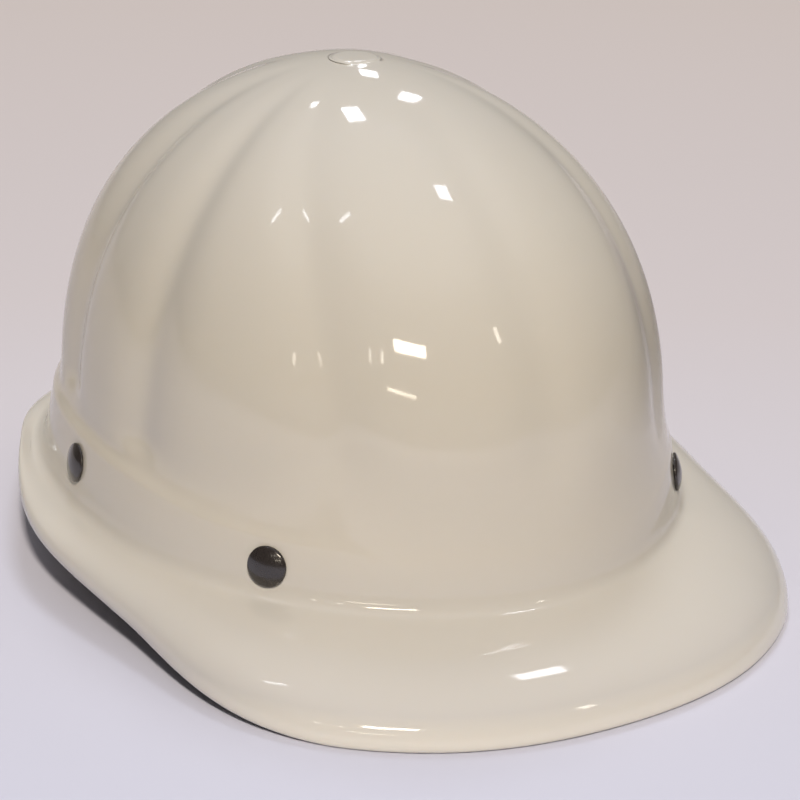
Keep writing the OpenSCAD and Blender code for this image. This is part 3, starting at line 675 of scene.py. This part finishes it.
def strapHalf(azimuth, layer, p):
    # places, directions across and directions out, from the band up to the crown
    wide, thick, gap = fixings["strapWide"], fixings["strapThick"], fixings["gap"]
    top = p["topZ"] + layer * (thick + gap)
    r = seatRadius(azimuth) - (strapIn + thick / 2) * math.cos(leanAngle)
    slope, low = math.tan(leanAngle), seatHeight(azimuth)
    knee = low + p["hangerUp"] + gap
    foot = r - slope * (knee - low)
    line = [np.array([r - slope * (z - low), z]) for z in (low - p["tail"], low - 4.5, low, low + 3.4, knee)]
    flat = wide * p["crossing"]
    controls = [np.array(c, float) for c in (
        (foot, knee), (foot - p["lean"], knee + p["rise"]), (r * p["shoulder"], top), (flat, top))]
    line += [bezier(controls, i / 26) for i in range(1, 27)]
    line += [np.array([flat * (1 - i / 6), top]) for i in range(1, 7)]
    turn = math.degrees(facing(azimuth)) - (azimuth - 90)
    turn -= 360 * round(turn / 360)
    frames = []
    for i, point in enumerate(line):
        step = line[min(i + 1, len(line) - 1)] - line[max(i - 1, 0)]
        step = step / np.linalg.norm(step)
        w = math.radians(azimuth - 90 + turn * (1 - float(ease((point[1] - low) / p["turnOver"]))))
        frames.append((onAxis(azimuth, point[0], point[1]), np.array([-math.sin(w), math.cos(w), 0.0]),
                       np.array([math.cos(w) * step[1], math.sin(w) * step[1], -step[0]])))
    return frames


def makeStrap(name, one, two, layer, p):
    first, second = strapHalf(one, layer, p), strapHalf(two, layer, p)
    frames = first + [(q, -across, out) for q, across, out in reversed(second[:-1])]
    w, t, e, s = fixings["strapWide"] / 2, fixings["strapThick"] / 2, p["edge"], p["selvedge"]
    # one face and one rounded edge of the section, then the same turned half round
    loop = [(x, t) for x in (-w + e, -w * 0.6, -w * 0.2, w * 0.2, w * 0.6, w - e)]
    loop += [(w - s, t * 0.6), (w, 0), (w - s, -t * 0.6)]
    loop += [(-x, -y) for x, y in loop]
    points, lengths = [], [0.0]
    for i, (place, across, out) in enumerate(frames):
        if i:
            lengths.append(lengths[-1] + float(np.linalg.norm(place - frames[i - 1][0])))
        for x, y in loop:
            points.append((place + across * x + out * y) * mm)
    n = len(loop)
    strap = makeObject(name + "_webbing", points, tubeFaces(len(frames), n), webbing, 50)
    layerUv = strap.data.uv_layers.new(name="weave")
    for corner, loopItem in enumerate(strap.data.loops):
        v = loopItem.vertex_index
        layerUv.data[corner].uv = (loop[v % n][0] * mm, lengths[v // n] * mm)
    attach(strap, "shell")
    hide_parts(name)


makeStrap("strap_side", places["side"], -places["side"], 0, strapForm)
makeStrap("strap_right_front", -places["front"], places["rear"], 1, strapForm)
makeStrap("strap_left_front", places["front"], -places["rear"], 2, strapForm)
print("crown straps ready")


padForm = {"across": 76, "thick": 5, "roundRadius": 68, "edgeRound": 2.0, "edgeFlat": 0.98, "hollow": 0.25,
           "seam": 31, "seamDepth": 0.55, "seamSpread": 1.3}


def makePad(p):
    # a thin cushion bent over the wearer's crown, with one sewn seam near its rim
    radius, thick = p["across"] / 2, p["thick"]
    flat, half, steps = radius - p["edgeRound"], thick / 2 * p["edgeFlat"], 18

    def drop(x):
        return p["roundRadius"] - math.sqrt(p["roundRadius"] ** 2 - x * x)

    def sewn(x):
        return p["seamDepth"] * math.exp(-((x - p["seam"]) / p["seamSpread"]) ** 2)

    profile = [(0.0, 0.0)]
    for i in range(1, steps + 1):
        x = flat * i / steps
        profile.append((x, -drop(x) - sewn(x)))
    for k in range(1, 8):
        a = math.pi / 2 - math.pi * k / 8
        profile.append((flat + p["edgeRound"] * math.cos(a), -drop(flat) - half + half * math.sin(a)))
    for i in range(steps, 0, -1):
        x = flat * i / steps
        profile.append((x, -drop(x) - thick + sewn(x) + p["hollow"] * math.cos(x / radius * math.pi / 2)))
    profile.append((0.0, -thick + p["hollow"]))
    under = fixings["strapThick"] / 2 + fixings["gap"]
    matrix = Matrix.Translation(Vector((0, shellForm["crownY"] * mm, (strapForm["topZ"] - under) * mm)))
    pad = lathe("crownPadKnitted", profile, matrix, knit, 96, None)
    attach(pad, "shell")
    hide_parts("crown_pad")


makePad(padForm)


bandForm = {
    "halfWide": 77, "halfLong": 98, "forward": 7.5, "thick": 1.6, "high": 28, "low": 18, "gap": 0.3,
    "sweatThick": 2.4, "sweatHigh": 34, "sweatAzimuth": 78, "puff": 1.0,
    "seamIn": 4, "seamDepth": 0.55, "seamSpread": 0.7,
    # stitches, spaced in degrees round the oval
    "stitchStep": 2.15, "stitchShare": 0.72, "stitchEnds": 2.5, "threadOut": 0.32, "threadAcross": 0.42,
}
bandY = shellForm["crownY"] - bandForm["forward"]
sweatLow = bandForm["low"] - (bandForm["sweatHigh"] - bandForm["high"]) / 2
sweatTop = sweatLow + bandForm["sweatHigh"]


def ovalPoint(setIn, degrees):
    a = math.radians(degrees)
    return np.array([(bandForm["halfWide"] - setIn) * math.sin(a),
                     bandY - (bandForm["halfLong"] - setIn) * math.cos(a)])


def makeSweatband(p):
    outside = p["thick"] + p["gap"]
    edge = [(0.4, 0.3), (1.2, 0.0), (2.0, 0.3)]         # how far in from the back, and below the top
    backIn, frontIn = 1.2, 0.9
    # up the flat back, round the top, down the padded front with its two seams
    loop = [(outside, sweatLow + backIn + (p["sweatHigh"] - 2 * backIn) * i / 8) for i in range(9)]
    loop += [(outside + x, sweatTop - z) for x, z in edge]
    for i in range(33):
        s = i / 32
        z = sweatTop - frontIn - (p["sweatHigh"] - 2 * frontIn) * s
        seam = math.exp(-((z - sweatTop + p["seamIn"]) / p["seamSpread"]) ** 2) \
            + math.exp(-((z - sweatLow - p["seamIn"]) / p["seamSpread"]) ** 2)
        body = p["puff"] * (1 - (2 * s - 1) ** 4)
        loop.append((outside + p["sweatThick"] + body - p["seamDepth"] * seam, z))
    loop += [(outside + x, sweatLow + z) for x, z in reversed(edge)]
    n, steps, points = len(loop), 150, []
    for k in range(steps + 1):
        angle = -p["sweatAzimuth"] + 2 * p["sweatAzimuth"] * k / steps
        near = min(k, steps - k) / 3
        thin = math.sin(min(near, 1) * math.pi / 2) * 0.75 + 0.25       # it thins at its two ends
        for depth, z in loop:
            q = ovalPoint(outside + (depth - outside) * thin, angle)
            points.append((q[0] * mm, q[1] * mm, z * mm))
    band = makeObject("sweatbandLeather", points, tubeFaces(steps + 1, n), leather, 50)
    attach(band, "headband")
    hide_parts("sweatband")


def sweatSeams(p):
    # start, end and inward direction of every stitch along both seams
    seams = []
    depth = p["thick"] + p["gap"] + p["sweatThick"] + p["threadOut"]
    for z in (sweatTop - p["seamIn"], sweatLow + p["seamIn"]):
        angle = -p["sweatAzimuth"] + p["stitchEnds"]
        while angle + p["stitchStep"] < p["sweatAzimuth"] - p["stitchEnds"]:
            one, two = ovalPoint(depth, angle), ovalPoint(depth, angle + p["stitchStep"] * p["stitchShare"])
            inward = -np.array([math.sin(math.radians(angle)), -math.cos(math.radians(angle)), 0])
            seams.append((np.array([one[0], one[1], z]), np.array([two[0], two[1], z]), inward))
            angle += p["stitchStep"]
    return seams


def makeStitches(p):
    # each stitch is a short rounded thread from one hole to the next
    points, faces, sides = [], [], 8
    swell = [(0.0, 0.25), (0.12, 0.8), (0.35, 1.0), (0.65, 1.0), (0.88, 0.8), (1.0, 0.25)]
    for start, end, out in sweatSeams(p):
        along = end - start
        length = np.linalg.norm(along)
        along = along / length
        side = np.cross(along, out)
        base = len(points)
        for s, width in swell:
            rise = 0.30 * math.sin(math.pi * s) - 0.12
            for k in range(sides):
                a = 2 * math.pi * k / sides
                q = start + along * length * s \
                    + out * (rise + p["threadAcross"] * width * 0.5 * math.sin(a)) \
                    + side * p["threadAcross"] * width * 0.5 * math.cos(a)
                points.append(q * mm)
        faces += [tuple(base + v for v in face) for face in tubeFaces(len(swell), sides)]
    stitches = makeObject("sweatbandStitching", points, faces, thread)
    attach(stitches, "headband")


makeSweatband(bandForm)
makeStitches(bandForm)
print("pads ready")


softEdges = {"hanger": 0.45, "headband": 0.35, "nape": 0.45, "guide": 0.35}


def softened(node, name, radius, material, body):
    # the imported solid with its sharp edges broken, as a mould leaves them
    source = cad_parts[node]
    mesh = source.data.copy()
    mesh.name = name
    piece = bpy.data.objects.new(name, mesh)
    bpy.context.scene.collection.objects.link(piece)
    mesh.materials.clear()
    mesh.materials.append(material)
    weld = piece.modifiers.new("weld", "WELD")
    weld.merge_threshold = 0.002 * mm
    flat = piece.modifiers.new("flat", "DECIMATE")
    flat.decimate_type = "DISSOLVE"
    flat.angle_limit = math.radians(2.0)
    bevel = piece.modifiers.new("edges", "BEVEL")
    bevel.width = radius * mm
    bevel.segments = 3
    bevel.limit_method = "ANGLE"
    bevel.angle_limit = math.radians(35)
    bevel.harden_normals = True
    bpy.context.view_layer.update()
    evaluated = piece.evaluated_get(bpy.context.evaluated_depsgraph_get())
    finished = bpy.data.meshes.new_from_object(evaluated)
    piece.modifiers.clear()
    piece.data = finished
    finished.shade_smooth()
    finished.set_sharp_from_angle(angle=math.radians(38))
    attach(piece, body)
    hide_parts(node)


for place in places:
    for side in ("right", "left"):
        hanger = "hanger_" + place + "_" + side
        softened(hanger, hanger + "_moulded", softEdges["hanger"], nylon, "shell")
softened("headband", "headbandMoulded", softEdges["headband"], bandPlastic, "headband")
softened("nape_strap", "napeStrapMoulded", softEdges["nape"], bandPlastic, "nape_strap")
for side in ("right", "left"):
    softened("nape_guide_" + side, "napeGuide_" + side,
             softEdges["guide"], nylon, "headband")
    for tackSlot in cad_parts["guide_tacks_" + side].material_slots:
        tackSlot.material = aluminium
print("moulded pieces ready")


# the photograph is 800 pixels square; the lens and the centre are in its pixels
cameraFit = {"azimuth": -30.68, "elevation": 20.89, "roll": 1.49, "distance": 791.6, "target": (0, 0, 72),
             "focal": 2420.24, "centreX": 378.62, "centreY": 331.33, "pixels": 800, "film": 36}


def makeCamera(p):
    az, el, roll = (math.radians(p[k]) for k in ("azimuth", "elevation", "roll"))
    back = Vector((math.sin(az) * math.cos(el), -math.cos(az) * math.cos(el), math.sin(el)))
    right = Vector((math.cos(az), math.sin(az), 0.0))
    up = back.cross(right)
    turnedRight = right * math.cos(roll) + up * math.sin(roll)
    turnedUp = up * math.cos(roll) - right * math.sin(roll)
    data = bpy.data.cameras.new("photoCamera")
    data.sensor_width = p["film"]
    data.lens = p["focal"] / p["pixels"] * p["film"]
    data.shift_x = (p["pixels"] / 2 - p["centreX"]) / p["pixels"]
    data.shift_y = (p["centreY"] - p["pixels"] / 2) / p["pixels"]
    data.clip_start, data.clip_end = 0.01, 20
    camera = bpy.data.objects.new("photoCamera", data)
    bpy.context.scene.collection.objects.link(camera)
    place = Vector(p["target"]) * mm + back * p["distance"] * mm
    rotation = Matrix((turnedRight, turnedUp, back)).transposed().to_4x4()
    camera.matrix_world = Matrix.Translation(place) @ rotation
    bpy.context.scene.camera = camera


makeCamera(cameraFit)


studio = {
    # the paper's colours from near the camera to far behind, and where they change,
    # in metres along the camera's direction
    "nearPaper": "#CED1E2", "midPaper": "#D4CED0", "farPaper": "#DBD1CB",
    "paperHalf": 5.0, "fadeFrom": -0.2, "fadeTo": 0.8, "fadeMiddle": 0.42,
    # radiance of the room, white is 1: overhead, and at the horizon towards the
    # front, the sides and the back
    "overhead": 0.58, "frontWall": 0.06, "sideWall": 0.03, "backWall": 0.34,
    "ceilingCurve": [(0.50, 0.02), (0.72, 0.12), (0.88, 0.80)],
    "frontAzimuth": -35, "coolTop": "#F3F5FF", "warmSide": "#F8ECDD", "backdrop": "#C9BFBA",
}


def makeTable(p):
    # one large sheet of matt paper, turned to the camera, cooler near it than far away
    size, turn = p["paperHalf"], Matrix.Rotation(math.radians(cameraFit["azimuth"]), 4, "Z")
    corners = ((-size, -size), (size, -size), (size, size), (-size, size))
    points = [turn @ Vector((x, y, 0)) for x, y in corners]
    material, tree, shader = newMaterial("mattPaper", {"Roughness": 0.9, "Specular IOR Level": 0.2})
    uv = addNode(tree, "ShaderNodeUVMap", {"uv_map": "paper"})
    place = addNode(tree, "ShaderNodeSeparateXYZ", {}, {0: uv.outputs[0]})
    away = addNode(tree, "ShaderNodeMapRange", {"From Min": p["fadeFrom"], "From Max": p["fadeTo"]},
                   {"Value": place.outputs["Y"]})
    papers = [(0.0, p["nearPaper"]), (p["fadeMiddle"], p["midPaper"]), (1.0, p["farPaper"])]
    addNode(tree, "ShaderNodeValToRGB", {"stops": papers},
            {"Fac": away.outputs[0]}, shader.inputs["Base Color"])
    sheet = makeObject("paperTable", points, [(0, 1, 2, 3)], material)
    layer = sheet.data.uv_layers.new(name="paper")
    for item, corner in zip(layer.data, corners):
        item.uv = corner


def makeWorld(p):
    # plain soft room light: a pale ceiling that dims and warms towards the horizon
    world = bpy.data.worlds.new("softRoom")
    bpy.context.scene.world = world
    world.use_nodes = True
    tree = world.node_tree
    coords = addNode(tree, "ShaderNodeTexCoord").outputs["Generated"]
    place = addNode(tree, "ShaderNodeSeparateXYZ", {}, {0: coords})
    ceiling = addNode(tree, "ShaderNodeFloatCurve", {}, {"Value": place.outputs["Z"]})
    line = ceiling.mapping.curves[0]
    line.points[0].location, line.points[1].location = (0, 0), (1, 1)
    for rise, share in p["ceilingCurve"]:
        line.points.new(rise, share)
    ceiling.mapping.update()
    front = math.radians(p["frontAzimuth"])
    towards = addNode(tree, "ShaderNodeVectorMath",
                      {"operation": "DOT_PRODUCT", 1: (math.sin(front), -math.cos(front), 0)}, {0: coords})
    around = addNode(tree, "ShaderNodeMapRange", {"From Min": -1.0}, {"Value": towards.outputs["Value"]})
    walls = addNode(tree, "ShaderNodeValToRGB", {"stops": [(x, p["warmSide"]) for x in (0.0, 0.5, 1.0)]},
                    {"Fac": around.outputs[0]})
    for point, level in zip(walls.color_ramp.elements, (p["backWall"], p["sideWall"], p["frontWall"])):
        point.color = [c * level for c in linear(p["warmSide"])[:3]] + [1]
    overhead = [c * p["overhead"] for c in linear(p["coolTop"])[:3]] + [1]
    room = addNode(tree, "ShaderNodeMix", {"data_type": "RGBA", 7: overhead},
                   {0: ceiling.outputs[0], 6: walls.outputs["Color"]})
    # past the table's edge the camera sees a backdrop as pale as the paper; the
    # gloss has its own pale back wall, in the ramp above, and nothing here is clear
    rays = addNode(tree, "ShaderNodeLightPath")
    seen = addNode(tree, "ShaderNodeMix", {"data_type": "RGBA", 7: linear(p["backdrop"])},
                   {0: rays.outputs["Is Camera Ray"], 6: room.outputs[2]})
    tree.links.new(seen.outputs[2], tree.nodes["Background"].inputs["Color"])


makeTable(studio)
makeWorld(studio)


# each lamp's azimuth from the peak towards the wearer's left, elevation, width and
# height in metres, radiance (white is 1), colour, and whether it is a glint, which
# only the gloss shows; the first two give the light and the shadows
lampDistance = 3.0
lampAim = Vector((0, 0, 0.09))
lamps = {
    "frontKey": (-27, 47, 0.28, 0.28, 294, "#FFF4E7", False),
    "topKey": (150, 60, 0.80, 0.80, 13.5, "#EEF3FF", False),
    "frontSoftbox": (-36, 32, 0.80, 0.24, 30, "#FFF0DA", True),
    "frontStrip": (-42, 15, 0.84, 0.06, 14, "#FFF2DC", True),
    "backCeiling": (162, 55, 0.30, 0.32, 18, "#F7F8FF", True),
    "backWindowLow": (149, 31, 0.16, 0.24, 10, "#F7F8FF", True),
    "backWindowHigh": (139, 41, 0.16, 0.24, 10, "#F7F8FF", True),
    "leftCeiling": (90, 67, 0.26, 0.36, 13, "#F7F8FF", True),
    "rightCeiling": (-104, 63, 0.07, 0.40, 10, "#F7F8FF", True),
    "rightPaneOne": (-61, 23, 0.07, 0.24, 7, "#FFF4E4", True),
    "rightPaneTwo": (-53, 25, 0.08, 0.24, 9, "#FFF4E4", True),
    "leftPane": (28, 33, 0.16, 0.30, 10, "#FFF4E4", True),
}
for lampName, (azimuth, elevation, across, high, radiance, hexColour, isGlint) in lamps.items():
    az, el = math.radians(azimuth), math.radians(elevation)
    towards = Vector((math.sin(az) * math.cos(el), -math.cos(az) * math.cos(el), math.sin(el)))
    data = bpy.data.lights.new(lampName, "AREA")
    data.shape = "RECTANGLE"
    data.size, data.size_y = across, high
    data.energy = radiance * math.pi * across * high
    data.color = linear(hexColour)[:3]
    lamp = bpy.data.objects.new(lampName, data)
    bpy.context.scene.collection.objects.link(lamp)
    lamp.location = towards * lampDistance + lampAim
    lamp.rotation_euler = (lampAim - lamp.location).to_track_quat("-Z", "Y").to_euler()
    lamp.visible_glossy, lamp.visible_diffuse = isGlint, not isGlint


# a painted dark reflection: a sheet that only the shell's gloss sees
paintedReflectionCard = {"near": (0.275, -0.20), "far": (0.15, 0.14), "high": 0.125,      # in metres
           "reflectedDark": "#2B2723", "cover": 0.80, "solidTo": 0.25, "lowEdge": -0.8}


def makePaintedReflectionCard(p):
    # a dark sheet beyond the picture on the right, which thins out to all its edges: only the
    # gloss of the shell sees it, so it paints a dark reflection down the shell's right side
    (x0, y0), (x1, y1) = p["near"], p["far"]
    corners = [(x0, y0, 0.0), (x1, y1, 0.0), (x1, y1, p["high"]), (x0, y0, p["high"])]
    material, tree, shader = newMaterial("paintedReflectionDark", {"Base Color": linear(p["reflectedDark"]), "Roughness": 0.9})
    uv = addNode(tree, "ShaderNodeUVMap", {"uv_map": "mat"})
    away = addNode(tree, "ShaderNodeVectorMath", {"operation": "LENGTH"}, {0: uv.outputs[0]})
    addNode(tree, "ShaderNodeMapRange", {"From Min": p["solidTo"], "To Min": p["cover"], "To Max": 0.0},
            {"Value": away.outputs["Value"]}, shader.inputs["Alpha"])
    mat = makeObject("paintedReflectionCard", corners, [(0, 1, 2, 3)], material)
    layer = mat.data.uv_layers.new(name="mat")
    for item, corner in zip(layer.data, ((-1, p["lowEdge"]), (1, p["lowEdge"]), (1, 1), (-1, 1))):
        item.uv = corner
    mat.visible_camera = mat.visible_diffuse = mat.visible_shadow = mat.visible_transmission = False


makePaintedReflectionCard(paintedReflectionCard)
print("stage ready")

scene = bpy.context.scene
scene.view_settings.view_transform = "Standard"
